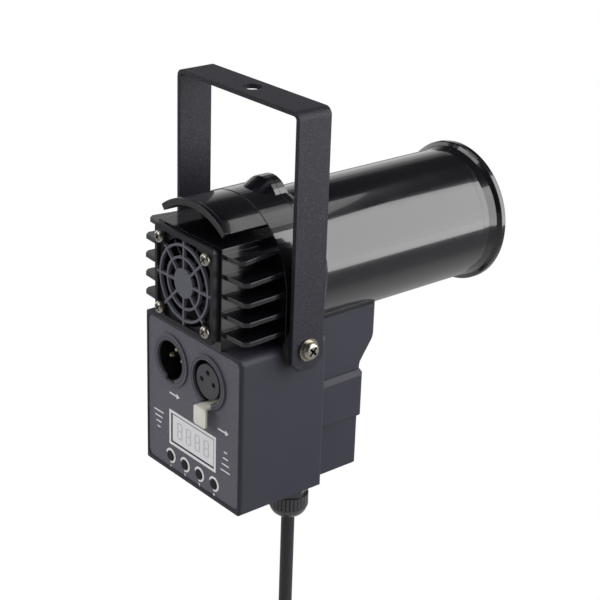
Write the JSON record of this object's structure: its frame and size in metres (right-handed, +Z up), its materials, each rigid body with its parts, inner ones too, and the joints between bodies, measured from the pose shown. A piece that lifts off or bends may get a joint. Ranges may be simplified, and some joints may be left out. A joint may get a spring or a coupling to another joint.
{
  "type": "pinspot light",
  "caption": "Pinspot light with a long round barrel on an upright control box, hung in a bent steel yoke, with a coiled mains cable",
  "frame": {"origin": "centre of the hanging hole, on the top face of the yoke's crossbar", "axes": "+Z up along the hanging hole's axis; the lens faces -Y and the control panel faces +Y; the tilt axis runs along X"},
  "size_m": [0.088, 0.1599, 0.427],
  "materials": {
    "powder_coat": "fine textured black powder coat",
    "nickel": "nickel plated",
    "brass": "turned",
    "black_rubber": "matt",
    "cord_rubber": "smooth cable jacket",
    "satin_plastic": "satin black",
    "panel_plastic": "fine textured dark grey",
    "window_plastic": "clear grey display window",
    "dark_plastic": "moulded black",
    "grey_plastic": "moulded dark grey",
    "ivory_plastic": "moulded ivory",
    "gloss_plastic": "gloss black",
    "housing_plastic": "high gloss black",
    "board": "green solder mask",
    "white_board": "white solder mask on aluminium",
    "phosphor": "yellow phosphor",
    "lens_glass": "clear"
  },
  "bodies": {
    "yoke": {"yoke_bracket": "powder_coat"},
    "head": {"pivot_screws": "nickel", "pivot_washers": "nickel", "friction_discs": "black_rubber", "pivot_inserts": "brass", "control_box": "satin_plastic", "control_panel": "panel_plastic", "display_window": "window_plastic", "display_module": "dark_plastic", "control_board": "board", "key_switches": "dark_plastic", "socket_in_shell": "gloss_plastic", "socket_in_pins": "nickel", "socket_out_shell": "gloss_plastic", "socket_out_block": "grey_plastic", "socket_out_contacts": "brass", "socket_board": "board", "rear_housing": "housing_plastic", "fan_grille": "satin_plastic", "fan_frame": "dark_plastic", "fan_screws": "nickel", "barrel_left": "housing_plastic", "barrel_right": "housing_plastic", "half_screws": "nickel", "front_lens": "lens_glass", "lens_seal": "black_rubber", "lens_ring": "dark_plastic", "light_board": "white_board", "light_chip": "phosphor", "collimator": "lens_glass", "collimator_holder": "dark_plastic", "driver_case": "satin_plastic", "driver_board": "board", "driver_parts": "dark_plastic", "gland_body": "dark_plastic", "gland_locknut": "dark_plastic", "gland_seal": "black_rubber", "gland_nut": "dark_plastic", "power_cord": "cord_rubber", "cord_coil": "cord_rubber", "cord_tail": "cord_rubber", "cord_tie": "black_rubber", "plug_body": "gloss_plastic", "plug_pins": "nickel"},
    "rotor": {"fan_rotor": "dark_plastic"},
    "first_key": {"key_1": "gloss_plastic"},
    "second_key": {"key_2": "gloss_plastic"},
    "third_key": {"key_3": "gloss_plastic"},
    "fourth_key": {"key_4": "gloss_plastic"},
    "latch": {"socket_out_latch": "ivory_plastic"}
  },
  "joints": [
    {"name": "head_tilt", "type": "hinge", "parent": "yoke", "child": "head", "pos_m": [0, 0, -0.1023], "axis": [1, 0, 0], "range_deg": [-50, 110]},
    {"name": "fan_spin", "type": "hinge", "parent": "head", "child": "rotor", "pos_m": [0, 0.0276, -0.0783], "axis": [0, 1, 0], "continuous": true},
    {"name": "press_key_1", "type": "slide", "parent": "head", "child": "first_key", "axis": [0, -1, 0], "range_m": [0, 0.0005], "stiffness_N_per_m": 400, "springref_m": -0.001},
    {"name": "press_key_2", "type": "slide", "parent": "head", "child": "second_key", "axis": [0, -1, 0], "range_m": [0, 0.0005], "stiffness_N_per_m": 400, "springref_m": -0.001},
    {"name": "press_key_3", "type": "slide", "parent": "head", "child": "third_key", "axis": [0, -1, 0], "range_m": [0, 0.0005], "stiffness_N_per_m": 400, "springref_m": -0.001},
    {"name": "press_key_4", "type": "slide", "parent": "head", "child": "fourth_key", "axis": [0, -1, 0], "range_m": [0, 0.0005], "stiffness_N_per_m": 400, "springref_m": -0.001},
    {"name": "press_latch", "type": "slide", "parent": "head", "child": "latch", "axis": [0, -1, 0], "range_m": [0, 0.0015], "stiffness_N_per_m": 400, "springref_m": -0.001}
  ]
}
